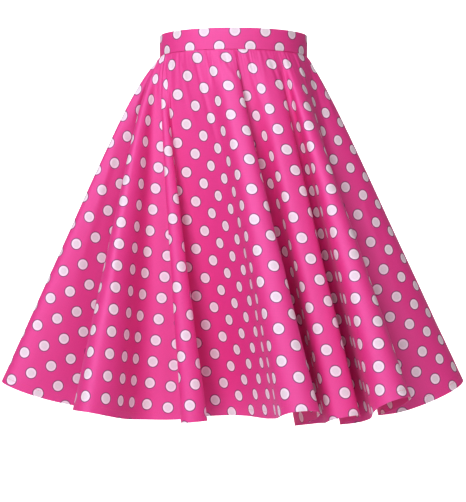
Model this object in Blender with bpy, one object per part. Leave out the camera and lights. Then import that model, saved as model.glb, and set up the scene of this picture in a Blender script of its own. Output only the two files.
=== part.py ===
"""A knee-length circle skirt in its worn form: hollow, open at the waist and the hem.

Metres, +Z up, the front towards -Y. The origin is the middle of the waist opening, halfway up the waistband.
The cloth hangs from the waist in straight slanting lines of nearly one length. Each line starts at a place on
the waist oval and ends at a place on the hem, and the turns of the hem make the folds. Left and right are as
seen from the front.
"""

import math

import bmesh
import bpy
import numpy as np

MM = 0.001

# Waist and waistband
WAIST_ACROSS = 240 * MM
WAIST_DEEP = 171 * MM
BAND_HEIGHT = 34 * MM
BAND_WALL = 2.4 * MM
BAND_COLUMNS = 72
BAND_ROWS = 4

# Skirt panels
SKIRT_LENGTH = 595 * MM
CLOTH_WALL = 1.2 * MM
SEAM_GAP = 0.3 * MM
FRONT_COLUMNS = 160
BACK_COLUMNS = 56
PANEL_ROWS = 9
ROW_SPREAD = 1.7
HIP_FULLNESS = 16 * MM
HIP_LEAN = 5 * MM
HIP_DROP = 46 * MM
FOLD_FULLNESS = 1.25
EASING = 0.012
PATH_STEPS = 48

# Turns of the front hem, from the left side seam to the right one. across and forward place the turn in
# millimetres, heading is the way the hem runs there in degrees (0 to the right, 90 to the front), waist is
# where that line of cloth starts on the waist oval in degrees (180 left, 90 front, 0 right), and short is how
# many millimetres the line falls short of the skirt's length, because cloth on the straight grain stretches less.
FRONT_TURNS = (
    # across, forward, heading, waist, short
    (-380, 0, 90, 180, 12),
    (-176, 12, 90, 172, 8),
    (-252, 92, 90, 168, 10),
    (-216, 139, -20, 165, 10),
    (-122, 42, 2, 159, 4),
    (-64, 60, 90, 156, 3),
    (-82, 90, 90, 155, 2),
    (-61, 107, -10, 153.5, 2),
    (-42, 84, -95, 152, 2),
    (-52, 2, 10, 143, 0),
    (58, 118, 68, 113, 5),
    (102, 230, 0, 100, 12),
    (127, 210, -92, 91, 6),
    (121, 74, 10, 87, -11),
    (164, 178, 0, 70, 6),
    (192, 158, -92, 58, 6),
    (183, 72, 10, 54, -11),
    (240, 217, -5, 49, 16),
    (265, 184, -95, 43, 14),
    (256, 44, 5, 18, -2),
    (380, -23, -90, 0, 8),
)
# Folds of the back hem, from the right side seam to the left one: where the inner and the outer turn lie,
# in degrees round the waist, and how far from its middle, in millimetres.
BACK_FOLDS = (
    # inner_angle, inner_reach, outer_angle, outer_reach
    (-13, 325, -19, 386),
    (-31, 292, -40, 370),
    (-46, 258, -58, 341),
    (-66, 230, -78, 319),
    (-92, 215, -99, 316),
    (-118, 241, -121, 337),
    (-141, 270, -144, 362),
    (-162, 303, -168, 372),
)
BACK_OUTER_SHORT = 6
BACK_INNER_SHORT = 0

# Concealed zip in the back seam
TAPE_WIDTH = 22 * MM
TAPE_WALL = 1.0 * MM
TAPE_LENGTH = 185 * MM
TAPE_COLUMNS = 6
TAPE_ROWS = 10
SLIDER_WIDTH = 6.4 * MM
SLIDER_HEIGHT = 8 * MM
SLIDER_BASE = 1.2 * MM
EAR_WALL = 1.1 * MM
EAR_RADIUS = 1.7 * MM
PIN_RADIUS = 0.8 * MM
PIN_OUT = 2.5 * MM
PIN_HEIGHT = 11.5 * MM
EYE_CLEARANCE = 0.3 * MM
EYE_RADIUS = 2.0 * MM
PULL_LENGTH = 17 * MM
PULL_WIDTH = 6.5 * MM
PULL_NECK = 4.4 * MM
PULL_WALL = 1.2 * MM
ROUND_STEPS = 16


def clear_scene():
    for thing in list(bpy.data.objects):
        bpy.data.objects.remove(thing)


def material(name, colour, roughness, metallic=0.0):
    made = bpy.data.materials.new(name)
    made.use_nodes = True
    shader = made.node_tree.nodes["Principled BSDF"]
    shader.inputs["Base Color"].default_value = (*colour, 1.0)
    shader.inputs["Roughness"].default_value = roughness
    shader.inputs["Metallic"].default_value = metallic
    return made


def back_turns():
    """The back hem's turns in the form of FRONT_TURNS, each heading square to the line from the middle."""
    turns = [FRONT_TURNS[-1]]
    for inner_angle, inner_reach, outer_angle, outer_reach in BACK_FOLDS:
        inner = (inner_angle, inner_reach, BACK_INNER_SHORT)
        outer = (outer_angle, outer_reach, BACK_OUTER_SHORT)
        for angle, reach, short in (inner, outer):
            around = math.radians(angle)
            turns.append((reach * math.cos(around), reach * math.sin(around), angle - 90, angle, short))
    across, forward, heading, waist, short = FRONT_TURNS[0]
    turns.append((across, forward, heading - 360, waist - 360, short))
    return turns


def heading_vector(heading, length):
    return np.array([math.cos(math.radians(heading)), math.sin(math.radians(heading))]) * length


def hem_path(turns):
    """A smooth line through the turns as rows of share of its length, across, forward, waist and short."""
    rows = []
    t = np.linspace(0, 1, PATH_STEPS, endpoint=False)[:, None]
    for first, last in zip(turns[:-1], turns[1:]):
        start, end = np.array(first[:2]) * MM, np.array(last[:2]) * MM
        pull = FOLD_FULLNESS * np.linalg.norm(end - start)
        leave, arrive = heading_vector(first[2], pull), heading_vector(last[2], pull)
        place = (
            (2 * t**3 - 3 * t**2 + 1) * start
            + (t**3 - 2 * t**2 + t) * leave
            + (3 * t**2 - 2 * t**3) * end
            + (t**3 - t**2) * arrive
        )
        waist_and_short = np.array(first[3:]) * (1 - t) + np.array(last[3:]) * t
        rows.append(np.hstack([place, waist_and_short]))
    rows.append(np.array([[turns[-1][0] * MM, turns[-1][1] * MM, *turns[-1][3:]]]))
    rows = np.vstack(rows)
    length = np.concatenate([[0], np.cumsum(np.linalg.norm(np.diff(rows[:, :2], axis=0), axis=1))])
    return np.hstack([(length / length[-1])[:, None], rows])


PATHS = {"front": hem_path(FRONT_TURNS), "back": hem_path(back_turns())}


def eased(path, share, column):
    """A column of the path, averaged over a short stretch so that it changes evenly, and exact at the seams."""
    reach = min(EASING, share, 1 - share)
    shares = [share + reach * step for step in (-1, -0.5, 0, 0.5, 1)]
    return np.mean(np.interp(shares, path[:, 0], path[:, column]))


def cloth_point(side, share, down):
    """The middle of the cloth, share of the way along that side's hem and down metres from the band."""
    path = PATHS[side]
    around = math.radians(eased(path, share, 3))
    waist = np.array([WAIST_ACROSS / 2 * math.cos(around), WAIST_DEEP / 2 * math.sin(around)])
    hem = np.array([np.interp(share, path[:, 0], path[:, 1]), np.interp(share, path[:, 0], path[:, 2])])
    fullness = HIP_FULLNESS - HIP_LEAN * math.cos(around)
    hip = np.array([fullness * math.cos(around) ** 3, 0])
    slant = np.linalg.norm(hem - waist - hip)
    fall = math.sqrt((SKIRT_LENGTH - eased(path, share, 4) * MM) ** 2 - slant**2)
    part = down / SKIRT_LENGTH
    across, forward = waist + hip * (1 - math.exp(-down / HIP_DROP)) + (hem - waist - hip) * part
    return np.array([across, -forward, -BAND_HEIGHT / 2 - SEAM_GAP - fall * part])


def unit(vector):
    return vector / np.linalg.norm(vector)


def cloth_frame(side, share, down):
    """The cloth's middle, its direction along the hem and its outward normal at one place."""
    step = 0.5 / FRONT_COLUMNS
    before, after = max(share - step, 0), min(share + step, 1)
    above, below = max(down - 2 * MM, 0), min(down + 2 * MM, SKIRT_LENGTH)
    along = cloth_point(side, after, down) - cloth_point(side, before, down)
    fall = cloth_point(side, share, below) - cloth_point(side, share, above)
    out = np.cross(fall, along)
    if down == 0:
        out[2] = 0  # the top edge is cut level, so that it meets the band squarely
    return cloth_point(side, share, down), unit(along), unit(out)


def band_frame(around, height):
    """The band's middle, its direction round the waist and its outward normal at one place."""
    a, b = WAIST_ACROSS / 2, WAIST_DEEP / 2
    along = unit(np.array([a * math.sin(around), b * math.cos(around), 0.0]))
    place = np.array([a * math.cos(around), -b * math.sin(around), height])
    return place, along, np.array([along[1], -along[0], 0.0])


def wall(name, frames, thickness, finish, lift=0.0):
    """A closed sheet from frames[column][row] of place, along and outward normal, moved out by lift."""
    mesh = bmesh.new()
    sides = []
    for offset in (lift + thickness / 2, lift - thickness / 2):
        sides.append([[mesh.verts.new(p + n * offset) for p, _, n in column] for column in frames])
    outer, inner = sides
    columns, rows = len(frames), len(frames[0])
    for c in range(columns - 1):
        for r in range(rows - 1):
            mesh.faces.new((outer[c][r], outer[c][r + 1], outer[c + 1][r + 1], outer[c + 1][r]))
            mesh.faces.new((inner[c][r], inner[c + 1][r], inner[c + 1][r + 1], inner[c][r + 1]))
        mesh.faces.new((outer[c][0], outer[c + 1][0], inner[c + 1][0], inner[c][0]))
        mesh.faces.new((outer[c][-1], inner[c][-1], inner[c + 1][-1], outer[c + 1][-1]))
    for r in range(rows - 1):
        mesh.faces.new((outer[0][r], inner[0][r], inner[0][r + 1], outer[0][r + 1]))
        mesh.faces.new((outer[-1][r], outer[-1][r + 1], inner[-1][r + 1], inner[-1][r]))
    bmesh.ops.recalc_face_normals(mesh, faces=mesh.faces)
    return finished(name, mesh, finish)


def finished(name, mesh, finish):
    data = bpy.data.meshes.new(name)
    mesh.to_mesh(data)
    mesh.free()
    data.materials.append(finish)
    data.shade_smooth()
    data.set_sharp_from_angle(angle=math.radians(50))
    made = bpy.data.objects.new(name, data)
    bpy.context.scene.collection.objects.link(made)
    return made


def with_seam_gaps(frames):
    """The same frames with the first and last column drawn in by half a seam gap."""
    for column, towards in ((frames[0], 1), (frames[-1], -1)):
        for r, (place, along, out) in enumerate(column):
            column[r] = (place + along * towards * SEAM_GAP / 2, along, out)
    return frames


def panel(name, side, first, last, columns, finish):
    downs = [SKIRT_LENGTH * (r / PANEL_ROWS) ** ROW_SPREAD for r in range(PANEL_ROWS + 1)]
    shares = np.linspace(first, last, columns + 1)
    frames = [[cloth_frame(side, share, down) for down in downs] for share in shares]
    return wall(name, with_seam_gaps(frames), CLOTH_WALL, finish)


def waistband(finish):
    """One strip round the waist, from the back opening right round to it again."""
    heights = np.linspace(BAND_HEIGHT / 2, -BAND_HEIGHT / 2, BAND_ROWS + 1)
    arounds = np.radians(np.linspace(270, -90, BAND_COLUMNS + 1))
    frames = [[band_frame(around, height) for height in heights] for around in arounds]
    return wall("waistband", with_seam_gaps(frames), BAND_WALL, finish)


def back_seam_share():
    """Where the back seam lies along the back hem: the line that starts at the middle of the waist's back."""
    path = PATHS["back"]
    return float(np.interp(90, -path[:, 3], path[:, 0]))


def zip_tape(finish):
    """The zip's tape behind the back seam, a strip of even width on the inner face of the back panels."""
    middle = back_seam_share()
    inset = -(CLOTH_WALL + TAPE_WALL) / 2 - SEAM_GAP
    downs = np.linspace(2 * MM, TAPE_LENGTH, TAPE_ROWS + 1)
    frames = []
    for step in np.linspace(-0.5, 0.5, TAPE_COLUMNS + 1):
        column = []
        for down in downs:
            nearby = 1 / FRONT_COLUMNS
            stretch = cloth_point("back", middle + nearby, down) - cloth_point("back", middle - nearby, down)
            share = middle + step * TAPE_WIDTH * 2 * nearby / np.linalg.norm(stretch)
            column.append(cloth_frame("back", share, down))
        frames.append(column)
    return wall("zip_tape", frames, TAPE_WALL, finish, inset)


def block(mesh, low, high):
    """A box between two corners."""
    made = bmesh.ops.create_cube(mesh, size=1)
    low, high = np.array(low), np.array(high)
    for vertex in made["verts"]:
        vertex.co = (low + high) / 2 + np.array(vertex.co) * (high - low)


def rod(mesh, radius, low, high, y, z):
    """A round bar along X from low to high."""
    made = bmesh.ops.create_cone(
        mesh, cap_ends=True, segments=ROUND_STEPS, radius1=radius, radius2=radius, depth=high - low
    )
    for vertex in made["verts"]:
        x, up, along = vertex.co
        vertex.co = ((low + high) / 2 + along, y + x, z + up)


def joined(name, shapes, finish, cuts=()):
    """One solid from shapes that overlap, less the cuts. Each shape is a function that fills a bmesh."""
    pieces = []
    for fill in (*shapes, *cuts):
        mesh = bmesh.new()
        fill(mesh)
        bmesh.ops.recalc_face_normals(mesh, faces=mesh.faces)
        pieces.append(finished(name if not pieces else f"{name}_{len(pieces)}", mesh, finish))
    for number, piece in enumerate(pieces[1:], start=1):
        piece.hide_render = True
        piece.display_type = "WIRE"
        step = pieces[0].modifiers.new(f"join_{number}", "BOOLEAN")
        step.operation = "UNION" if number < len(shapes) else "DIFFERENCE"
        step.object = piece
    return pieces[0]


def pin_depth():
    """How far behind the waist's middle the pull's pin lies, in Y."""
    return WAIST_DEEP / 2 + BAND_WALL / 2 + SEAM_GAP + SLIDER_BASE + PIN_OUT


def zip_slider(finish):
    """The slider on the band's outer face: a base, two ears and the pin between them."""
    y, half = pin_depth(), SLIDER_WIDTH / 2
    face = y - PIN_OUT
    low, high = PIN_HEIGHT - SLIDER_HEIGHT / 2, PIN_HEIGHT + SLIDER_HEIGHT / 2

    def base(mesh):
        block(mesh, (-half, face - SLIDER_BASE, low), (half, face, high))

    def ear(mesh, inner, outer):
        root = SLIDER_BASE / 2
        block(mesh, (inner, face - root, PIN_HEIGHT - EAR_RADIUS), (outer, y, PIN_HEIGHT + EAR_RADIUS))

    def tip(mesh, inner, outer):
        rod(mesh, EAR_RADIUS, inner, outer, y, PIN_HEIGHT)

    shapes = [base]
    for inner, outer in ((-half, -half + EAR_WALL), (half - EAR_WALL, half)):
        shapes.append(lambda mesh, a=inner, b=outer: ear(mesh, a, b))
        shapes.append(lambda mesh, a=inner, b=outer: tip(mesh, a, b))
    inset = EAR_WALL / 2
    shapes.append(lambda mesh: rod(mesh, PIN_RADIUS, -half + inset, half - inset, y, PIN_HEIGHT))
    return joined("zip_slider", shapes, finish)


def zip_pull(finish):
    """The pull tab: an eye round the pin, a narrow neck, and a longer rounded grip hanging down."""
    y = pin_depth()
    neck = SLIDER_WIDTH / 2 - EAR_WALL - EYE_CLEARANCE
    grip_top = PIN_HEIGHT - PULL_NECK
    grip_low = PIN_HEIGHT - PULL_LENGTH

    def eye(mesh):
        rod(mesh, EYE_RADIUS, -neck, neck, y, PIN_HEIGHT)

    def stem(mesh):
        half = PULL_WALL / 2
        block(mesh, (-neck, y - half, grip_top - 1 * MM), (neck, y + half, PIN_HEIGHT))

    def grip(mesh):
        half, corner = PULL_WIDTH / 2, PULL_WIDTH / 2
        outline = []
        for middle, start in ((grip_low + corner, 180), (grip_top - half, 0)):
            for step in range(ROUND_STEPS // 2 + 1):
                turn = math.radians(start + 180 * step / (ROUND_STEPS // 2))
                outline.append((half * math.cos(turn), middle + half * math.sin(turn)))
        front, back = (
            [mesh.verts.new((x, y + side * PULL_WALL / 2, z)) for x, z in outline] for side in (-1, 1)
        )
        mesh.faces.new(front)
        mesh.faces.new(list(reversed(back)))
        for k in range(len(outline)):
            n = (k + 1) % len(outline)
            mesh.faces.new((front[k], back[k], back[n], front[n]))

    def hole(mesh):
        rod(mesh, PIN_RADIUS + EYE_CLEARANCE, -SLIDER_WIDTH, SLIDER_WIDTH, y, PIN_HEIGHT)

    return joined("zip_pull", (eye, stem, grip), finish, (hole,))


def build():
    clear_scene()
    cloth = material("pink_cotton", (0.86, 0.07, 0.36), 0.75)
    tape = material("zip_tape_pink", (0.80, 0.10, 0.36), 0.8)
    metal = material("zip_metal_pink", (0.78, 0.12, 0.36), 0.35, 0.3)
    waistband(cloth)
    panel("front_panel", "front", 0, 1, FRONT_COLUMNS, cloth)
    seam = back_seam_share()
    panel("back_panel_right", "back", 0, seam, BACK_COLUMNS, cloth)
    panel("back_panel_left", "back", seam, 1, BACK_COLUMNS, cloth)
    zip_tape(tape)
    zip_slider(metal)
    zip_pull(metal)


build()
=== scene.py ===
"""Looks of a dotted cotton circle skirt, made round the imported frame.

Metres, +Z up, the front towards -Y. Left and right are as seen from the front. The cloth's shape comes
from the same named turns and folds as the solids, on a finer grid, with soft creases, a turned hem and
sewing added.
"""

import math

import bpy
import numpy as np
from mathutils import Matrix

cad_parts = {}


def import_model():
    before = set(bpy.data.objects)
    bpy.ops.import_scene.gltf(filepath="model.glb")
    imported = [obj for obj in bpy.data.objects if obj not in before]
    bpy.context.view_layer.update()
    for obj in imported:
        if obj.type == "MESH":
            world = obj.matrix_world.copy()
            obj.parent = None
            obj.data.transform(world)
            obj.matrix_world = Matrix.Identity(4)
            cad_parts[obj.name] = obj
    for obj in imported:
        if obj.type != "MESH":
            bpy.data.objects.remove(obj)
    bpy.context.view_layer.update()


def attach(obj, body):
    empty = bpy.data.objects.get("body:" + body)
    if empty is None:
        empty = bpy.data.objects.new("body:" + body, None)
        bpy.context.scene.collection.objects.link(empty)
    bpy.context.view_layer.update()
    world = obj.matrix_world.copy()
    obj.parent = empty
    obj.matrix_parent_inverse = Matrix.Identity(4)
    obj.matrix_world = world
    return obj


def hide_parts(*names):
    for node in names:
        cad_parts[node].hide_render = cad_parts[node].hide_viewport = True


MM = 0.001

# Cut and form of the skirt
WAIST_ACROSS = 240 * MM
WAIST_DEEP = 171 * MM
BAND_HEIGHT = 34 * MM
BAND_WALL = 2.2 * MM
SKIRT_LENGTH = 595 * MM
CUT_WAIST_RADIUS = 140 * MM
CLOTH_WALL = 1.0 * MM
# The solids stand SEAM_GAP below the band. Here the panels go up inside it, and meet at the seams.
SEAM_GAP = 0.3 * MM
SEAM_CLOSED = 0.06 * MM
BAND_OVERLAP = 1 * MM
# The hips stand out to the sides, more by HIP_LEAN on the left and less by it on the right
HIP_FULLNESS = 16 * MM
HIP_LEAN = 5 * MM
HIP_DROP = 46 * MM
HIP_POWER = 3
# How strongly the hem curves at its turns, and the share of it over which the other columns are eased
FOLD_FULLNESS = 1.25
EASING = 0.012
EASING_STEPS = 9
PATH_STEPS = 48

# Turns of the front hem, from the left side seam to the right one. across and forward place the turn in
# millimetres, heading is the way the hem runs there in degrees (0 to the right, 90 to the front), waist
# is where that line of cloth starts on the waist oval in degrees (180 left, 90 front, 0 right), and short
# is how many millimetres the line falls short of the skirt's length, because cloth on the straight grain
# stretches less.
FRONT_TURNS = (
    # across, forward, heading, waist, short
    (-380, 0, 90, 180, 12),
    (-176, 12, 90, 172, 8),
    (-252, 92, 90, 168, 10),
    (-216, 139, -20, 165, 10),
    (-122, 42, 2, 159, 4),
    (-64, 60, 90, 156, 3),
    (-82, 90, 90, 155, 2),
    (-61, 107, -10, 153.5, 2),
    (-42, 84, -95, 152, 2),
    (-52, 2, 10, 143, 0),
    (58, 118, 68, 113, 5),
    (102, 230, 0, 100, 12),
    (127, 210, -92, 91, 6),
    (121, 74, 10, 87, -11),
    (164, 178, 0, 70, 6),
    (192, 158, -92, 58, 6),
    (183, 72, 10, 54, -11),
    (240, 217, -5, 49, 16),
    (265, 184, -95, 43, 14),
    (256, 44, 5, 18, -2),
    (380, -23, -90, 0, 8),
)
# Folds of the back hem, from the right side seam to the left one: where the inner and the outer turn lie,
# in degrees round the waist, and how far from its middle, in millimetres.
BACK_FOLDS = (
    # inner_angle, inner_reach, outer_angle, outer_reach
    (-13, 325, -19, 386),
    (-31, 292, -40, 370),
    (-46, 258, -58, 341),
    (-66, 230, -78, 319),
    (-92, 215, -99, 316),
    (-118, 241, -121, 337),
    (-141, 270, -144, 362),
    (-162, 303, -168, 372),
)
BACK_OUTER_SHORT = 6
BACK_INNER_SHORT = 0
BACK_MIDDLE = -90

# Columns of a hem path
SHARE, ACROSS, FORWARD, WAIST, SHORT = range(5)

# Fineness of the cloth
FRONT_COLUMNS = 480
BACK_COLUMNS = 210
PANEL_ROWS = 92
ROW_SPREAD = 1.25
BAND_COLUMNS = 300
BAND_ROWS = 14
SHARP_ANGLE = 60

# Creases laid on the cloth: where each starts and ends along the front's or the back's hem line
# (0 to 1) and down from the band in millimetres, its spread to each side, and how far it stands out (in,
# where negative).
CREASES = (
    # side, start_share, start_down, end_share, end_down, spread, height
    ("front", 0.445, 4, 0.468, 190, 4.0, 1.6),
    ("front", 0.476, 2, 0.482, 70, 3.0, -1.4),
    ("front", 0.415, 20, 0.430, 150, 5.0, -1.0),
    ("front", 0.400, 10, 0.395, 110, 5.0, 1.1),
    ("front", 0.372, 60, 0.380, 260, 6.0, 1.3),
    ("front", 0.520, 0, 0.545, 60, 3.0, 1.6),
    ("front", 0.635, 2, 0.660, 95, 3.5, 1.5),
    ("front", 0.690, 3, 0.700, 80, 3.0, -1.5),
    ("front", 0.740, 12, 0.752, 130, 4.0, 1.3),
    ("front", 0.875, 4, 0.880, 90, 3.5, 1.4),
    ("front", 0.930, 20, 0.925, 210, 6.0, -1.2),
    ("front", 0.965, 6, 0.960, 120, 4.0, 1.4),
    ("front", 0.045, 8, 0.050, 120, 4.0, 1.5),
    ("front", 0.080, 60, 0.085, 300, 7.0, -1.5),
    ("front", 0.030, 180, 0.040, 470, 9.0, 1.6),
    ("front", 0.275, 5, 0.285, 100, 3.5, 1.5),
    ("front", 0.330, 3, 0.338, 120, 4.0, -1.6),
    ("front", 0.195, 330, 0.205, 560, 9.0, 1.2),
    ("front", 0.955, 260, 0.962, 560, 10.0, 1.6),
    ("back", 0.06, 5, 0.07, 130, 4.0, 1.5),
    ("back", 0.15, 10, 0.16, 190, 5.0, -1.4),
    ("back", 0.24, 3, 0.25, 100, 4.0, 1.6),
    ("back", 0.35, 8, 0.36, 170, 5.0, -1.4),
    ("back", 0.45, 4, 0.44, 120, 4.0, 1.4),
    ("back", 0.60, 6, 0.61, 150, 4.0, 1.6),
    ("back", 0.69, 3, 0.70, 110, 4.0, -1.4),
    ("back", 0.78, 9, 0.77, 180, 5.0, 1.5),
    ("back", 0.88, 4, 0.89, 120, 4.0, -1.5),
    ("back", 0.95, 8, 0.94, 160, 5.0, 1.4),
    ("back", 0.32, 330, 0.33, 560, 9.0, 1.4),
    ("back", 0.72, 300, 0.73, 540, 9.0, 1.3),
)
# A crease starts at one share of its spread and grows by another. It rises from just before to just after
# its start, and fades out between two shares of how far down it ends.
CREASE_START_SPREAD = 0.6
CREASE_GROWTH = 0.8
CREASE_RISE = (-12 * MM, 10 * MM)
CREASE_FADE = (0.55, 1.1)

# Gathers under the band, in waves to the front or the back, each with its own start in radians
GATHER_HEIGHT = 0.5 * MM
GATHER_RISE = 4 * MM
GATHER_FALL = 22 * MM
GATHER_WAVES = ((61, 0.4), (87, 1.9), (131, 3.1))
# Ease further down. Its waves also wander sideways, by so many radians to the metre of the way down.
EASE_HEIGHT = 0.7 * MM
EASE_WANDER = 3
EASE_FROM = (50 * MM, 300 * MM)
EASE_WAVES = (
    # waves, wander, start
    (9, 11, 0.3),
    (17, 7, 2.2),
    (23, 15, 4.0),
)

# Hollows along the seams
WAIST_SEAM_DIP = 0.9 * MM
WAIST_SEAM_FALL = 1.2 * MM
WAIST_SEAM_ROWS = (0.6 * MM, 1.3 * MM)
SIDE_SEAM_DIP = 0.35 * MM
SIDE_SEAM_FALL = 2 * MM
SIDE_SEAM_CALM = 8 * MM

# The band's soft edges, the crown of its doubled cloth, and its pull in waves of radians to the metre
BAND_EDGE = 0.5 * MM
BAND_EDGE_STEPS = 2
BAND_CROWN = 0.3 * MM
BAND_PULL = 0.25 * MM
PULL_ALONG = 95
PULL_DOWN = 60
PULL_SWELL = 31
PULL_START = 1

# Hem and sewing
HEM_DEPTH = 12 * MM
HEM_STEP = 0.35 * MM
HEM_STEP_WIDTH = 1.5 * MM
STITCH_HEIGHT = HEM_DEPTH - 1 * MM
STITCH_DIP = 0.25 * MM
STITCH_DIP_WIDTH = 1.2 * MM
STITCH_LENGTH = 3.2 * MM
STITCH_GAP = 0.8 * MM
STITCH_FIRST = 2 * MM
STITCH_LAST = 4 * MM
# Rings of a stitch: along as a share of its length, thickness and lift as shares of the thread's radius
STITCH_SHAPE = (
    # along, thickness, lift
    (0, 0.35, -0.6),
    (0.15, 1, 0.1),
    (0.85, 1, 0.1),
    (1, 0.35, -0.6),
)
THREAD_RADIUS = 0.25 * MM
THREAD_CLEAR = 0.05 * MM
THREAD_SIDES = 6

# The zip behind the back seam. TAPE_FACE is how far the tape's inner face lies inside the cloth's middle.
TAPE_FACE = 1.9 * MM
TAPE_LENGTH = 185 * MM
COIL_FROM_END = 4 * MM
COIL_PITCH = 1.3 * MM
COIL_STEPS = 12
COIL_ASIDE = 1.0 * MM
COIL_ACROSS = 1.3 * MM
COIL_DEEP = 0.55 * MM
COIL_RADIUS = 0.3 * MM

# Printed dots. A dot's middle is a little greyer, up to DOT_MIDDLE_SHARE of its radius. The shifts place
# the net of dots on the band and on the cut cloth of the panels.
DOT_PITCH = 49 * MM
DOT_RADIUS = 8.2 * MM
DOT_EDGE = 0.35 * MM
DOT_MIDDLE_SHARE = 0.8
DOT_MIDDLE_BLEND = 4.0
RING_WIDTH = 1.5 * MM
RING_STRENGTH = 0.92
BAND_DOT_SHIFT = (2 * MM, 12 * MM)
PANEL_DOT_SHIFT = (-6.2 * MM, 16.3 * MM)

# Weave, and thicker stretches of yarn in waves to the metre across and along the yarn. The cloth's colour
# is multiplied by TONE_LOW plus TONE_RANGE times the weave's painted highlight on the thread crowns, with
# painted shade between them, and the lighter tone of thicker yarn.
THREAD_PITCH = 0.42 * MM
# How much painted highlight the thread crowns get, with painted shade between them
CROWN_HIGHLIGHT = 0.3
SLUBS_ACROSS = 700
SLUBS_ALONG = 45
SLUB_SHADE = 0.35
TONE_LOW = 0.84
TONE_RANGE = 0.32

# Colours and finish
PINK = (0.79, 0.017, 0.225, 1)
PINK_DEEP = (0.72, 0.008, 0.165, 1)
PINK_UNEVEN = 0.35
DOT_WHITE = (0.97, 0.79, 0.87, 1)
DOT_MIDDLE = (0.78, 0.72, 0.73, 1)
RING_COLOUR = (0.07, 0.008, 0.03, 1)
REVERSE_STRENGTH = 0.6
REVERSE_GLOSS = 0.2
ZIP_PINK = (0.74, 0.03, 0.25, 1)
ZIP_PINK_WORN = (0.62, 0.02, 0.19, 1)
ZIP_ROUGHNESS = 0.25
ZIP_WEAR = 0.2

# Camera
FRAME_WIDTH = 466
FRAME_HEIGHT = 502
PIXELS_PER_METRE = 608
WAIST_PIXEL = (233.5, 46.9)
CAMERA_AWAY = 2.1
SENSOR = 36.0

# Studio
FLOOR_LEVEL = -1.02
SWEEP_FRONT = 7.0
SWEEP_BACK = 4.0
SWEEP_RISE = 5.0
SWEEP_BEND = 1.2
SWEEP_STEPS = 16
SWEEP_HALF_WIDTH = 7.0
PAPER = (0.92, 0.92, 0.92, 1)
PAPER_GLOW = 0.66
GLOW = (1.0, 0.84, 0.85, 1)
GLOW_STRENGTH = 0.15
PALE_WALL = (0.86, 0.86, 0.87, 1)
LAMPS = (
    # name, place, aim, size, watts, colour
    ("key_lamp", (-1.25, -2.65, 1.5), (0, 0, -0.3), 1.4, 98, (0.95, 0.94, 1.0)),
    ("fill_lamp", (1.6, -2.6, 0.0), (0, 0, -0.3), 2.2, 14, (1.0, 0.68, 0.70)),
    ("top_lamp", (-0.5, 0.2, 2.4), (0, 0, -0.3), 1.6, 8, (1, 1, 1)),
    ("backdrop_lamp", (0, 2.2, 2.0), (0, 4.0, -0.3), 3.0, 90, (1, 1, 1)),
)


def unit(vectors):
    return vectors / np.linalg.norm(vectors, axis=-1, keepdims=True)


def lengths_along(line):
    """How far along the line each of its points lies."""
    return np.concatenate([[0], np.cumsum(np.linalg.norm(np.diff(line, axis=0), axis=1))])


def smooth_step(values, low, high):
    t = np.clip((values - low) / (high - low), 0, 1)
    return t * t * (3 - 2 * t)


def back_turns():
    """The back hem's turns in the form of FRONT_TURNS, each heading square to the line from the middle."""
    turns = [FRONT_TURNS[-1]]
    for inner_angle, inner_reach, outer_angle, outer_reach in BACK_FOLDS:
        inner = (inner_angle, inner_reach, BACK_INNER_SHORT)
        outer = (outer_angle, outer_reach, BACK_OUTER_SHORT)
        for angle, reach, short in (inner, outer):
            around = math.radians(angle)
            turns.append((reach * math.cos(around), reach * math.sin(around), angle - 90, angle, short))
    across, forward, heading, waist, short = FRONT_TURNS[0]
    turns.append((across, forward, heading - 360, waist - 360, short))
    return turns


def heading_vector(heading, length):
    return np.array([math.cos(math.radians(heading)), math.sin(math.radians(heading))]) * length


def hem_path(turns):
    """A smooth line through the turns as rows of share of its length, across, forward, waist and short."""
    rows = []
    t = np.linspace(0, 1, PATH_STEPS, endpoint=False)[:, None]
    for first, last in zip(turns[:-1], turns[1:]):
        start, end = np.array(first[:2]) * MM, np.array(last[:2]) * MM
        pull = FOLD_FULLNESS * np.linalg.norm(end - start)
        leave, arrive = heading_vector(first[2], pull), heading_vector(last[2], pull)
        place = (
            (2 * t**3 - 3 * t**2 + 1) * start
            + (t**3 - 2 * t**2 + t) * leave
            + (3 * t**2 - 2 * t**3) * end
            + (t**3 - t**2) * arrive
        )
        waist_and_short = np.array(first[3:]) * (1 - t) + np.array(last[3:]) * t
        rows.append(np.hstack([place, waist_and_short]))
    rows.append(np.array([[turns[-1][0] * MM, turns[-1][1] * MM, *turns[-1][3:]]]))
    rows = np.vstack(rows)
    length = lengths_along(rows[:, :2])
    return np.hstack([(length / length[-1])[:, None], rows])


PATHS = {"front": hem_path(FRONT_TURNS), "back": hem_path(back_turns())}


def back_seam_share():
    """Where the back seam lies along the back hem: the line from the middle of the waist's back."""
    path = PATHS["back"]
    return float(np.interp(-BACK_MIDDLE, -path[:, WAIST], path[:, SHARE]))


def eased(path, shares, column):
    """A column of the path, averaged over a short stretch so that it changes evenly, exact at the seams."""
    reach = np.minimum(EASING, np.minimum(shares, 1 - shares))
    steps = np.linspace(-1, 1, EASING_STEPS)
    nearby = [np.interp(shares + reach * step, path[:, SHARE], path[:, column]) for step in steps]
    return np.mean(nearby, axis=0)


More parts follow.
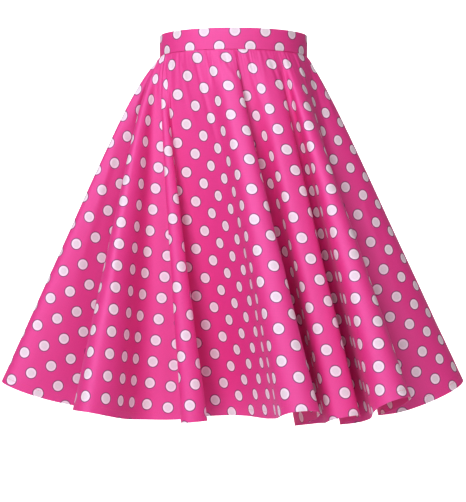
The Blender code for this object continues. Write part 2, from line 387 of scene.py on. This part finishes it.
def cloth_middle(side, shares, downs):
    """The plain cloth's middle as [share][down][xyz]."""
    path = PATHS[side]
    around = np.radians(eased(path, shares, WAIST))
    waist = np.stack([WAIST_ACROSS / 2 * np.cos(around), WAIST_DEEP / 2 * np.sin(around)], axis=1)
    hem = np.stack([np.interp(shares, path[:, SHARE], path[:, k]) for k in (ACROSS, FORWARD)], axis=1)
    fullness = (HIP_FULLNESS - HIP_LEAN * np.cos(around)) * np.cos(around) ** HIP_POWER
    hip = np.stack([fullness, 0 * fullness], axis=1)
    slant = np.linalg.norm(hem - waist - hip, axis=1)
    fall = np.sqrt((SKIRT_LENGTH - eased(path, shares, SHORT) * MM) ** 2 - slant**2)
    part = (downs / SKIRT_LENGTH)[None, :, None]
    bulge = 1 - np.exp(-downs / HIP_DROP)[None, :, None]
    flat = waist[:, None] + hip[:, None] * bulge + (hem - waist - hip)[:, None] * part
    height = -BAND_HEIGHT / 2 - SEAM_GAP - fall[:, None] * part[..., 0]
    return np.stack([flat[..., 0], -flat[..., 1], height], axis=-1)


def grid_normals(points):
    """Outward normals of a grid that runs left to right over the front and down."""
    return unit(np.cross(np.gradient(points, axis=1), np.gradient(points, axis=0)))


def crease_height(crease, across, down, width):
    """How far one crease lifts the cloth. width is what a whole share of the hem line measures there."""
    start_share, start_down, end_share, end_down, spread, height = crease
    start, end = start_down * MM, end_down * MM
    t = np.clip((down - start) / (end - start), 0, 1)
    aside = (across - (start_share + (end_share - start_share) * t)) * width
    reach = spread * MM * (CREASE_START_SPREAD + CREASE_GROWTH * t)
    rise = smooth_step(down, start + CREASE_RISE[0], start + CREASE_RISE[1])
    fade = 1 - smooth_step(down, CREASE_FADE[0] * end, CREASE_FADE[1] * end)
    return height * MM * np.exp(-((aside / reach) ** 2)) * (rise * fade)


def relief(side, shares, downs, points):
    """How far the cloth stands out from its plain form, from creases, gathers, ease, hem and seams."""
    width = np.linalg.norm(np.gradient(points, axis=0), axis=-1) / np.gradient(shares)[:, None]
    across, down = shares[:, None], downs[None, :]
    out = np.zeros(points.shape[:2])
    for where, *crease in CREASES:
        if where == side:
            out += crease_height(crease, across, down, width)
    for waves, phase in GATHER_WAVES:
        ripple = np.sin(2 * np.pi * waves * across + phase)
        out += GATHER_HEIGHT * ripple * np.exp(-down / GATHER_FALL) * (down / (down + GATHER_RISE))
    for waves, wander, phase in EASE_WAVES:
        shift = EASE_WANDER * np.sin(down * wander + phase)
        swell = np.sin(2 * np.pi * (waves * across) + phase + shift)
        out += EASE_HEIGHT / len(EASE_WAVES) * swell * smooth_step(down, *EASE_FROM)
    from_hem = SKIRT_LENGTH - down
    out += HEM_STEP * (1 - smooth_step(from_hem, HEM_DEPTH, HEM_DEPTH + HEM_STEP_WIDTH))
    out -= STITCH_DIP * np.exp(-(((from_hem - STITCH_HEIGHT) / STITCH_DIP_WIDTH) ** 2))
    out -= WAIST_SEAM_DIP * np.exp(-down / WAIST_SEAM_FALL)
    from_seam = np.minimum(shares - shares[0], shares[-1] - shares)[:, None] * width
    side_dip = SIDE_SEAM_DIP * np.exp(-from_seam / SIDE_SEAM_FALL) * (down > 0)
    return out * smooth_step(from_seam, 0, SIDE_SEAM_CALM) - side_dip


def laid_flat(points):
    """The place of each grid point in the cut cloth: each strip of cloth is laid flat beside the last."""
    top, hem = points[:, 0], points[:, -1]
    lengths = np.linalg.norm(hem - top, axis=1)
    strip_top = np.linalg.norm(np.diff(top, axis=0), axis=1)
    strip_hem = np.linalg.norm(np.diff(hem, axis=0), axis=1)
    turn = np.concatenate([[0], np.cumsum((strip_hem - strip_top) / lengths[1:])])
    along = np.stack([np.sin(turn), -np.cos(turn)], axis=1)
    across = np.stack([np.cos(turn), np.sin(turn)], axis=1)
    start = np.concatenate([[[0, 0]], np.cumsum(across[1:] * strip_top[:, None], axis=0)])
    part = np.linalg.norm(points - top[:, None], axis=-1)
    return start[:, None] + along[:, None] * part[..., None]


def linked(name, mesh):
    made = bpy.data.objects.new(name, mesh)
    bpy.context.scene.collection.objects.link(made)
    return made


def wall_mesh(name, points, normals, thickness, cut):
    """A closed shell round a grid of points, with the place of each point in the cut cloth as its map."""
    columns, rows = points.shape[:2]
    count = columns * rows
    faced_out = points + normals * thickness / 2
    faced_in = points - normals * thickness / 2
    places = np.concatenate([faced_out, faced_in]).reshape(-1, 3)
    number = np.arange(count).reshape(columns, rows)
    a, b, c, d = number[:-1, :-1], number[:-1, 1:], number[1:, 1:], number[1:, :-1]
    outer = np.stack([a, b, c, d], axis=-1).reshape(-1, 4)
    edge = np.concatenate([number[:, 0], number[-1, 1:], number[-2::-1, -1], number[0, -2::-1]])
    rim = np.stack([edge[:-1], edge[1:], edge[1:] + count, edge[:-1] + count], axis=1)
    faces = np.concatenate([outer, outer[:, ::-1] + count, rim])
    mesh = bpy.data.meshes.new(name)
    mesh.from_pydata(places.tolist(), [], faces.tolist())
    flat = np.concatenate([cut.reshape(-1, 2)] * 2)
    corners = np.empty(len(mesh.loops), dtype=np.int32)
    mesh.loops.foreach_get("vertex_index", corners)
    mesh.uv_layers.new(name="cut").data.foreach_set("uv", flat[corners].astype(np.float32).ravel())
    mesh.shade_smooth()
    mesh.set_sharp_from_angle(angle=math.radians(SHARP_ANGLE))
    return linked(name, mesh)


def close_seams(points):
    """Draw the first and the last column in, so that neighbours stay SEAM_CLOSED apart."""
    for column, inward in ((0, points[1] - points[0]), (-1, points[-2] - points[-1])):
        points[column] += unit(inward) * SEAM_CLOSED / 2


def panel_grid(side, first, last, columns):
    """A panel's points with their relief, their normals and their places in the cut cloth."""
    shares = np.linspace(first, last, columns + 1)
    downs = SKIRT_LENGTH * np.linspace(0, 1, PANEL_ROWS + 1) ** ROW_SPREAD
    downs = np.insert(downs, 1, WAIST_SEAM_ROWS)
    plain = cloth_middle(side, shares, downs)
    cut = laid_flat(plain)
    points = plain + grid_normals(plain) * relief(side, shares, downs, plain)[..., None]
    close_seams(points)
    normals = grid_normals(points)
    # The top edge faces level, so it stands upright where it goes up inside the band
    normals[:, 0, 2] = 0
    points[:, 0, 2] += SEAM_GAP + BAND_OVERLAP
    return points, unit(normals), cut


def add_panel(name, side, first, last, columns, solid, flat, area, finishes):
    """A cloth panel with its outer finish and its reverse, and its points and normals for the sewing."""
    points, normals, cut = panel_grid(side, first, last, columns)
    panel = wall_mesh(name, points, normals, CLOTH_WALL, cut + np.array(PANEL_DOT_SHIFT))
    for finish in finishes:
        panel.data.materials.append(finish)
    faces_a_side = (points.shape[0] - 1) * (points.shape[1] - 1)
    for polygon in panel.data.polygons[faces_a_side : 2 * faces_a_side]:
        polygon.material_index = 1
    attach(panel, "skirt")
    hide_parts(solid)
    return points, normals


def band_grid():
    """The band's points with their crown and pull, their normals and places in its strip, and its length."""
    # Once round by the left, from the back seam to the back seam
    around = np.radians(np.linspace(BACK_MIDDLE + 360, BACK_MIDDLE, BAND_COLUMNS + 1))
    heights = np.linspace(BAND_HEIGHT / 2, -BAND_HEIGHT / 2, BAND_ROWS + 1)
    a, b = WAIST_ACROSS / 2, WAIST_DEEP / 2
    oval = np.stack([a * np.cos(around), -b * np.sin(around)], axis=1)
    outward = unit(np.stack([b * np.cos(around), -a * np.sin(around)], axis=1))
    length = lengths_along(oval)
    side = length[:, None]
    crown = BAND_CROWN * np.cos(np.pi * heights / BAND_HEIGHT)[None, :]
    swell = np.sin(side * PULL_SWELL + PULL_START)
    pull = BAND_PULL * np.sin(side * PULL_ALONG + heights[None, :] * PULL_DOWN) * swell
    flat = oval[:, None] + outward[:, None] * (crown + pull)[..., None]
    rise = np.broadcast_to(heights, flat.shape[:2])
    points = np.concatenate([flat, rise[..., None]], axis=-1)
    level = np.concatenate([outward, np.zeros((len(outward), 1))], axis=1)
    normals = level[:, None].repeat(len(heights), axis=1)
    close_seams(points)
    cut = np.stack([np.broadcast_to(side - length[-1] / 2, rise.shape), rise], axis=-1)
    return points, normals, cut, length[-1]


def add_band(finish):
    points, normals, cut, length = band_grid()
    band = wall_mesh("waistband_cloth", points, normals, BAND_WALL, cut - np.array(BAND_DOT_SHIFT))
    edge = band.modifiers.new("soft_edges", "BEVEL")
    edge.width = BAND_EDGE
    edge.segments = BAND_EDGE_STEPS
    edge.limit_method = "ANGLE"
    band.data.materials.append(finish)
    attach(band, "skirt")
    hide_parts("waistband")


def tube(path, across, up, radius):
    """A round thread's points, ring after ring along its path, and its faces with both ends closed."""
    turn = 2 * np.pi * np.arange(THREAD_SIDES)[:, None] / THREAD_SIDES
    spokes = across[:, None] * np.cos(turn) + up[:, None] * np.sin(turn)
    points = path[:, None] + spokes * np.broadcast_to(radius, len(path))[:, None, None]
    number = np.arange(len(path) * THREAD_SIDES).reshape(-1, THREAD_SIDES)
    after = np.roll(number, -1, axis=1)
    sides = np.stack([number[:-1], after[:-1], after[1:], number[1:]], axis=-1).reshape(-1, 4)
    ends = [number[0, ::-1].tolist(), number[-1].tolist()]
    return points.reshape(-1, 3), sides.tolist() + ends


def add_threads(name, threads, finish):
    """Threads, each given as its points and faces, joined as one piece on the skirt."""
    places, faces = [], []
    for points, sides in threads:
        first = len(places)
        faces += [[first + corner for corner in side] for side in sides]
        places += points.tolist()
    mesh = bpy.data.meshes.new(name)
    mesh.from_pydata(places, [], faces)
    mesh.shade_smooth()
    mesh.materials.append(finish)
    piece = linked(name, mesh)
    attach(piece, "skirt")


def stitch_line(points, normals):
    """The line on which a panel's hem is sewn, just clear of the outer face, and the way out along it."""
    from_hem = np.linalg.norm(points - points[:, -1:], axis=-1)
    rows = np.arange(points.shape[1])
    row = np.array([np.interp(STITCH_HEIGHT, line[::-1], rows[::-1]) for line in from_hem])
    above = np.floor(row).astype(int)
    below = np.minimum(above + 1, rows[-1])
    part = (row - above)[:, None]
    column = np.arange(len(points))
    path = points[column, above] * (1 - part) + points[column, below] * part
    out = unit(normals[column, above] * (1 - part) + normals[column, below] * part)
    return path + out * (CLOTH_WALL / 2 + THREAD_CLEAR), out


def add_hem_stitches(name, points, normals, finish):
    """A row of machine stitches along the top of the turned hem, as short round threads."""
    path, out = stitch_line(points, normals)
    length = lengths_along(path)
    along, thickness, lift = np.array(STITCH_SHAPE).T
    stitches = []
    for start in np.arange(STITCH_FIRST, length[-1] - STITCH_LAST, STITCH_LENGTH + STITCH_GAP):
        at = start + STITCH_LENGTH * along
        place = np.stack([np.interp(at, length, path[:, k]) for k in range(3)], axis=1)
        up = unit(np.stack([np.interp(at, length, out[:, k]) for k in range(3)], axis=1))
        aside = unit(np.cross(unit(place[-1] - place[0]), up))
        middle = place + up * lift[:, None] * THREAD_RADIUS
        stitches.append(tube(middle, aside, up, THREAD_RADIUS * thickness))
    add_threads(name, stitches, finish)


def add_zip_coil(finish):
    """The zip's coil on the inner face of its tape: two rows of nylon loops that mesh along the seam."""
    downs = np.arange(COIL_FROM_END, TAPE_LENGTH - COIL_FROM_END, COIL_PITCH / COIL_STEPS)
    shares = back_seam_share() + np.array([-1, 0, 1]) / BACK_COLUMNS / 2
    nearby = cloth_middle("back", shares, downs)
    middle, inward = nearby[1], -grid_normals(nearby)[1]
    along = unit(nearby[2] - nearby[0])
    fall = unit(np.gradient(middle, axis=0))
    rows = []
    for side, phase in ((-1, 0), (1, math.pi)):
        turn = (2 * math.pi * downs / COIL_PITCH + phase)[:, None]
        aside = side * COIL_ASIDE + COIL_ACROSS * np.cos(turn)
        deep = TAPE_FACE + COIL_RADIUS + COIL_DEEP * (1 + np.sin(turn))
        path = middle + along * aside + inward * deep
        ahead = unit(np.gradient(path, axis=0))
        across = unit(np.cross(ahead, fall))
        rows.append(tube(path, across, np.cross(across, ahead), COIL_RADIUS))
    add_threads("zip_coil", rows, finish)


def node(tree, kind, **values):
    """A shader node with its properties and unlinked inputs set by name."""
    made = tree.nodes.new(kind)
    for name, value in values.items():
        if hasattr(made, name):
            setattr(made, name, value)
        else:
            made.inputs[name.replace("_", " ")].default_value = value
    return made


def maths(tree, operation, first, second=None, clamp=False):
    """A Math node's output. Each operand is a number or an output."""
    made = tree.nodes.new("ShaderNodeMath")
    made.operation = operation
    made.use_clamp = clamp
    for socket, operand in zip(made.inputs, (first, second)):
        if isinstance(operand, (int, float)):
            socket.default_value = operand
        elif operand is not None:
            tree.links.new(operand, socket)
    return made.outputs[0]


def mix(tree, factor, first, second, blend="MIX"):
    """A colour mix's output. Colours and the factor are values or outputs."""
    made = tree.nodes.new("ShaderNodeMix")
    made.data_type = "RGBA"
    made.blend_type = blend
    for label, value in (("Factor_Float", factor), ("A_Color", first), ("B_Color", second)):
        socket = next(s for s in made.inputs if s.identifier == label)
        if isinstance(value, bpy.types.NodeSocket):
            tree.links.new(value, socket)
        else:
            socket.default_value = value
    return next(s for s in made.outputs if s.identifier == "Result_Color")


def group_of(name, inputs, outputs):
    """An empty shader group with named sockets, given as {name: kind or (kind, default)}."""
    tree = bpy.data.node_groups.new(name, "ShaderNodeTree")
    for label, kind in inputs.items():
        kind, default = kind if isinstance(kind, tuple) else (kind, None)
        socket = tree.interface.new_socket(label, in_out="INPUT", socket_type=kind)
        if default is not None:
            socket.default_value = default
    for label, kind in outputs.items():
        tree.interface.new_socket(label, in_out="OUTPUT", socket_type=kind)
    return tree, tree.nodes.new("NodeGroupInput"), tree.nodes.new("NodeGroupOutput")


def printed_dots():
    """Dots on a square net with one more in the middle of each square, and the thin ring round each."""
    tree, given, result = group_of(
        "printed_dots",
        {
            "Place": "NodeSocketVector",
            "Pitch": ("NodeSocketFloat", DOT_PITCH),
            "Radius": ("NodeSocketFloat", DOT_RADIUS),
            "Edge": ("NodeSocketFloat", DOT_EDGE),
            "Ring Width": ("NodeSocketFloat", RING_WIDTH),
        },
        {"Dot": "NodeSocketFloat", "Ring": "NodeSocketFloat", "Middle": "NodeSocketFloat"},
    )
    apart = node(tree, "ShaderNodeSeparateXYZ")
    tree.links.new(given.outputs["Place"], apart.inputs[0])
    pitch, radius, edge = (given.outputs[name] for name in ("Pitch", "Radius", "Edge"))
    half = maths(tree, "MULTIPLY", pitch, 0.5)

    def from_nearest(shift):
        squares = []
        for axis in ("X", "Y"):
            moved = maths(tree, "ADD", maths(tree, "ADD", apart.outputs[axis], shift), half)
            inside = maths(tree, "SUBTRACT", maths(tree, "FLOORED_MODULO", moved, pitch), half)
            squares.append(maths(tree, "MULTIPLY", inside, inside))
        return maths(tree, "SQRT", maths(tree, "ADD", *squares))

    nearest = maths(tree, "MINIMUM", from_nearest(0.0), from_nearest(half))
    beyond = maths(tree, "DIVIDE", maths(tree, "SUBTRACT", nearest, radius), edge)
    dot = maths(tree, "SUBTRACT", 0.5, beyond, clamp=True)
    width = maths(tree, "DIVIDE", given.outputs["Ring Width"], edge)
    ring = maths(tree, "SUBTRACT", maths(tree, "ADD", width, 0.5), beyond, clamp=True)
    tree.links.new(dot, result.inputs["Dot"])
    tree.links.new(maths(tree, "SUBTRACT", ring, dot, clamp=True), result.inputs["Ring"])
    within = maths(tree, "SUBTRACT", DOT_MIDDLE_SHARE, maths(tree, "DIVIDE", nearest, radius))
    middle = maths(tree, "MULTIPLY", within, DOT_MIDDLE_BLEND, clamp=True)
    tree.links.new(middle, result.inputs["Middle"])
    return tree


def plain_weave():
    """Warp and weft threads: Height for a bump, and Shade, lighter on thicker yarn, with a painted highlight
    on the thread crowns and painted shade between them.
    """
    tree, given, result = group_of(
        "plain_weave",
        {"Place": "NodeSocketVector", "Thread Pitch": ("NodeSocketFloat", THREAD_PITCH)},
        {"Height": "NodeSocketFloat", "Crown Highlight And Slubs": "NodeSocketFloat"},
    )
    scaled = node(tree, "ShaderNodeVectorMath", operation="SCALE")
    tree.links.new(given.outputs["Place"], scaled.inputs[0])
    tree.links.new(maths(tree, "DIVIDE", math.pi, given.outputs["Thread Pitch"]), scaled.inputs["Scale"])
    apart = node(tree, "ShaderNodeSeparateXYZ")
    tree.links.new(scaled.outputs[0], apart.inputs[0])
    waves = [maths(tree, "SINE", apart.outputs[axis]) for axis in ("X", "Y")]
    height = maths(tree, "ABSOLUTE", maths(tree, "MULTIPLY", *waves))
    # Painted highlight on the thread crowns and painted shade between the threads
    crown_highlight_and_slubs = maths(tree, "MULTIPLY", height, CROWN_HIGHLIGHT)
    for fineness in ((SLUBS_ACROSS, SLUBS_ALONG, 0), (SLUBS_ALONG, SLUBS_ACROSS, 0)):
        stretched = node(tree, "ShaderNodeVectorMath", operation="MULTIPLY")
        tree.links.new(given.outputs["Place"], stretched.inputs[0])
        stretched.inputs[1].default_value = fineness
        slubs = node(tree, "ShaderNodeTexNoise", Scale=1.0, Detail=3.0)
        tree.links.new(stretched.outputs[0], slubs.inputs["Vector"])
        crown_highlight_and_slubs = maths(tree, "ADD", crown_highlight_and_slubs, maths(tree, "MULTIPLY", slubs.outputs[0], SLUB_SHADE))
    tree.links.new(height, result.inputs["Height"])
    tree.links.new(crown_highlight_and_slubs, result.inputs["Crown Highlight And Slubs"])
    return tree


def two_tone_grain():
    """Fine spots between two colours, about Scale of them to the metre."""
    tree, given, result = group_of(
        "two_tone_grain",
        {
            "Place": "NodeSocketVector",
            "Scale": "NodeSocketFloat",
            "Detail": "NodeSocketFloat",
            "Deep": "NodeSocketColor",
            "Light": "NodeSocketColor",
        },
        {"Colour": "NodeSocketColor", "Grain": "NodeSocketFloat"},
    )
    spots = node(tree, "ShaderNodeTexNoise")
    for label, socket in (("Place", "Vector"), ("Scale", "Scale"), ("Detail", "Detail")):
        tree.links.new(given.outputs[label], spots.inputs[socket])
    colour = mix(tree, spots.outputs[0], given.outputs["Deep"], given.outputs["Light"])
    tree.links.new(colour, result.inputs["Colour"])
    tree.links.new(spots.outputs[0], result.inputs["Grain"])
    return tree


def shader_of(name, **constants):
    """A new material's tree and Principled shader, with constants set on its own sockets."""
    material = bpy.data.materials.new(name)
    material.use_nodes = True
    shader = material.node_tree.nodes["Principled BSDF"]
    for label, value in constants.items():
        shader.inputs[label.replace("_", " ")].default_value = value
    return material, material.node_tree, shader


def on_piece(tree, group, **values):
    """A shader group with its own values, fixed to the piece."""
    made = node(tree, "ShaderNodeGroup", node_tree=group, **values)
    tree.links.new(node(tree, "ShaderNodeTexCoord").outputs["Object"], made.inputs["Place"])
    return made


def raise_threads(tree, threads, shader, strength, distance):
    bump = node(tree, "ShaderNodeBump", Strength=strength, Distance=distance)
    tree.links.new(threads.outputs["Height"], bump.inputs["Height"])
    tree.links.new(bump.outputs[0], shader.inputs["Normal"])


def dotted_cotton(name, dots, weave, strength, gloss):
    """Printed cotton. On its matt reverse the same print shows through with less strength."""
    material, tree, shader = shader_of(
        name,
        Roughness=0.65,
        Sheen_Weight=0.05,
        Sheen_Roughness=0.5,
        Sheen_Tint=(1.0, 0.45, 0.7, 1),
        Specular_IOR_Level=gloss,
        Specular_Tint=(0.75, 0.5, 1.0, 1),
        IOR=1.8,
    )
    place = node(tree, "ShaderNodeUVMap", uv_map="cut").outputs[0]
    prints = node(tree, "ShaderNodeGroup", node_tree=dots)
    threads = node(tree, "ShaderNodeGroup", node_tree=weave)
    for group in (prints, threads):
        tree.links.new(place, group.inputs["Place"])
    cloud = node(tree, "ShaderNodeTexNoise", Scale=14.0, Detail=3.0)
    tree.links.new(place, cloud.inputs["Vector"])
    ground = mix(tree, maths(tree, "MULTIPLY", cloud.outputs[0], PINK_UNEVEN), PINK, PINK_DEEP)
    ring = maths(tree, "MULTIPLY", prints.outputs["Ring"], RING_STRENGTH * strength)
    dot = maths(tree, "MULTIPLY", prints.outputs["Dot"], strength)
    white = mix(tree, prints.outputs["Middle"], DOT_WHITE, DOT_MIDDLE)
    printed = mix(tree, dot, mix(tree, ring, ground, RING_COLOUR), white)
    # Painted highlight on the thread crowns and painted shade between them, with the lighter tone of thicker
    # yarn
    crown_highlight_and_slub_tone = maths(tree, "ADD", TONE_LOW, maths(tree, "MULTIPLY", threads.outputs["Crown Highlight And Slubs"], TONE_RANGE))
    tone = node(tree, "ShaderNodeCombineColor")
    for socket in tone.inputs[:3]:
        tree.links.new(crown_highlight_and_slub_tone, socket)
    tree.links.new(mix(tree, 1.0, printed, tone.outputs[0], "MULTIPLY"), shader.inputs["Base Color"])
    raise_threads(tree, threads, shader, strength=0.35, distance=0.12 * MM)
    return material


def woven_tape(weave):
    material, tree, shader = shader_of("woven_tape", Roughness=0.85, Sheen_Weight=0.2)
    threads = on_piece(tree, weave)
    # Painted shade between the tape's threads and painted highlight on their crowns, with the tone of
    # thicker yarn
    tree.links.new(mix(tree, threads.outputs["Crown Highlight And Slubs"], PINK_DEEP, PINK), shader.inputs["Base Color"])
    raise_threads(tree, threads, shader, strength=0.5, distance=0.1 * MM)
    return material


def sewing_thread(grain):
    material, tree, shader = shader_of("sewing_thread", Roughness=0.55, Sheen_Weight=0.3)
    twist = on_piece(tree, grain, Scale=2500.0, Detail=1.0, Deep=PINK_DEEP, Light=PINK)
    tree.links.new(twist.outputs["Colour"], shader.inputs["Base Color"])
    return material


def coil_nylon(grain):
    material, tree, shader = shader_of("coil_nylon", Roughness=0.42, Coat_Weight=0.15)
    drawn = on_piece(tree, grain, Scale=1800.0, Detail=2.0, Deep=PINK_DEEP, Light=PINK)
    tree.links.new(drawn.outputs["Colour"], shader.inputs["Base Color"])
    return material


def zip_enamel(grain):
    material, tree, shader = shader_of("zip_enamel", Metallic=0.2, Coat_Weight=0.3)
    wear = on_piece(tree, grain, Scale=700.0, Detail=3.0, Deep=ZIP_PINK_WORN, Light=ZIP_PINK)
    tree.links.new(wear.outputs["Colour"], shader.inputs["Base Color"])
    rough = maths(tree, "ADD", ZIP_ROUGHNESS, maths(tree, "MULTIPLY", wear.outputs["Grain"], ZIP_WEAR))
    tree.links.new(rough, shader.inputs["Roughness"])
    return material


def finish_solid(name, finish):
    """Give one of the frame's own solids its finish."""
    materials = bpy.data.objects[name].data.materials
    materials.clear()
    materials.append(finish)


def add_backdrop():
    """Pale paper on the floor that sweeps up behind the skirt. Its own glow is for the camera alone."""
    profile = [(-SWEEP_FRONT, 0.0)]
    for step in range(SWEEP_STEPS + 1):
        turn = math.pi / 2 * step / SWEEP_STEPS
        back = SWEEP_BACK - SWEEP_BEND + SWEEP_BEND * math.sin(turn)
        profile.append((back, SWEEP_BEND - SWEEP_BEND * math.cos(turn)))
    profile.append((SWEEP_BACK, SWEEP_RISE))
    sides = (-SWEEP_HALF_WIDTH, SWEEP_HALF_WIDTH)
    verts = [(x, y, FLOOR_LEVEL + z) for y, z in profile for x in sides]
    faces = [(2 * k, 2 * k + 1, 2 * k + 3, 2 * k + 2) for k in range(len(profile) - 1)]
    mesh = bpy.data.meshes.new("pale_sweep")
    mesh.from_pydata(verts, [], faces)
    mesh.shade_smooth()
    material, tree, shader = shader_of(
        "pale_paper", Base_Color=PAPER, Roughness=0.9, Emission_Color=(1, 1, 1, 1)
    )
    seen = tree.nodes.new("ShaderNodeLightPath").outputs["Is Camera Ray"]
    tree.links.new(maths(tree, "MULTIPLY", seen, PAPER_GLOW), shader.inputs["Emission Strength"])
    mesh.materials.append(material)
    linked("pale_sweep", mesh)


def add_lamps():
    for name, place, aim, size, watts, colour in LAMPS:
        light = bpy.data.lights.new(name, "AREA")
        light.size = size
        light.energy = watts
        light.color = colour
        lamp = linked(name, light)
        lamp.location = place
        away = np.array(place) - np.array(aim)
        tilt = math.acos(away[2] / np.linalg.norm(away))
        lamp.rotation_euler = (tilt, 0, math.atan2(away[1], away[0]) + math.pi / 2)


def add_even_light():
    """Dim warm light from all round. The camera sees a pale wall in its place."""
    world = bpy.data.worlds.new("even_light")
    world.use_nodes = True
    tree = world.node_tree
    glow = tree.nodes["Background"]
    glow.inputs["Color"].default_value = GLOW
    glow.inputs["Strength"].default_value = GLOW_STRENGTH
    pale_wall = node(tree, "ShaderNodeBackground", Color=PALE_WALL, Strength=1.0)
    seen = tree.nodes.new("ShaderNodeMixShader")
    tree.links.new(tree.nodes.new("ShaderNodeLightPath").outputs["Is Camera Ray"], seen.inputs["Fac"])
    tree.links.new(glow.outputs[0], seen.inputs[1])
    tree.links.new(pale_wall.outputs[0], seen.inputs[2])
    tree.links.new(seen.outputs[0], tree.nodes["World Output"].inputs["Surface"])
    bpy.context.scene.world = world
    bpy.context.scene.view_settings.view_transform = "Standard"


def add_camera():
    """Level, straight on, at the height and distance from which the photo's oval waist and hem agree."""
    camera = bpy.data.cameras.new("camera")
    camera.sensor_width = SENSOR
    camera.lens = SENSOR * PIXELS_PER_METRE * CAMERA_AWAY / FRAME_HEIGHT
    viewer = linked("camera", camera)
    across = (FRAME_WIDTH / 2 - WAIST_PIXEL[0]) / PIXELS_PER_METRE
    height = (WAIST_PIXEL[1] - FRAME_HEIGHT / 2) / PIXELS_PER_METRE
    viewer.location = (across, -CAMERA_AWAY, height)
    viewer.rotation_euler = (math.pi / 2, 0, 0)
    bpy.context.scene.camera = viewer


def add_panels(finishes, thread):
    """The three panels of the circle cut, each with the stitches of its hem."""
    hem_radius = CUT_WAIST_RADIUS + SKIRT_LENGTH
    whole_cut = math.pi * (hem_radius**2 - CUT_WAIST_RADIUS**2)
    half_sheet, half_cut = (2 * hem_radius, hem_radius), whole_cut / 2
    quarter_sheet, quarter_cut = (hem_radius, hem_radius), whole_cut / 4
    seam = back_seam_share()
    panels = (
        # name, side, first, last, columns, solid, flat, area
        ("front_cloth", "front", 0, 1, FRONT_COLUMNS, "front_panel", half_sheet, half_cut),
        ("back_right_cloth", "back", 0, seam, BACK_COLUMNS, "back_panel_right", quarter_sheet, quarter_cut),
        ("back_left_cloth", "back", seam, 1, BACK_COLUMNS, "back_panel_left", quarter_sheet, quarter_cut),
    )
    for name, *panel in panels:
        points, normals = add_panel(name, *panel, finishes)
        add_hem_stitches(name.replace("cloth", "hem_stitches"), points, normals, thread)


def main():
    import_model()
    add_camera()
    add_backdrop()
    add_lamps()
    add_even_light()
    dots, weave, grain = printed_dots(), plain_weave(), two_tone_grain()
    cotton = dotted_cotton("dotted_pink_cotton", dots, weave, 1.0, 1.0)
    reverse = dotted_cotton("dotted_cotton_reverse", dots, weave, REVERSE_STRENGTH, REVERSE_GLOSS)
    add_band(cotton)
    add_panels((cotton, reverse), sewing_thread(grain))
    add_zip_coil(coil_nylon(grain))
    finish_solid("zip_tape", woven_tape(weave))
    enamel = zip_enamel(grain)
    finish_solid("zip_slider", enamel)
    finish_solid("zip_pull", enamel)


main()
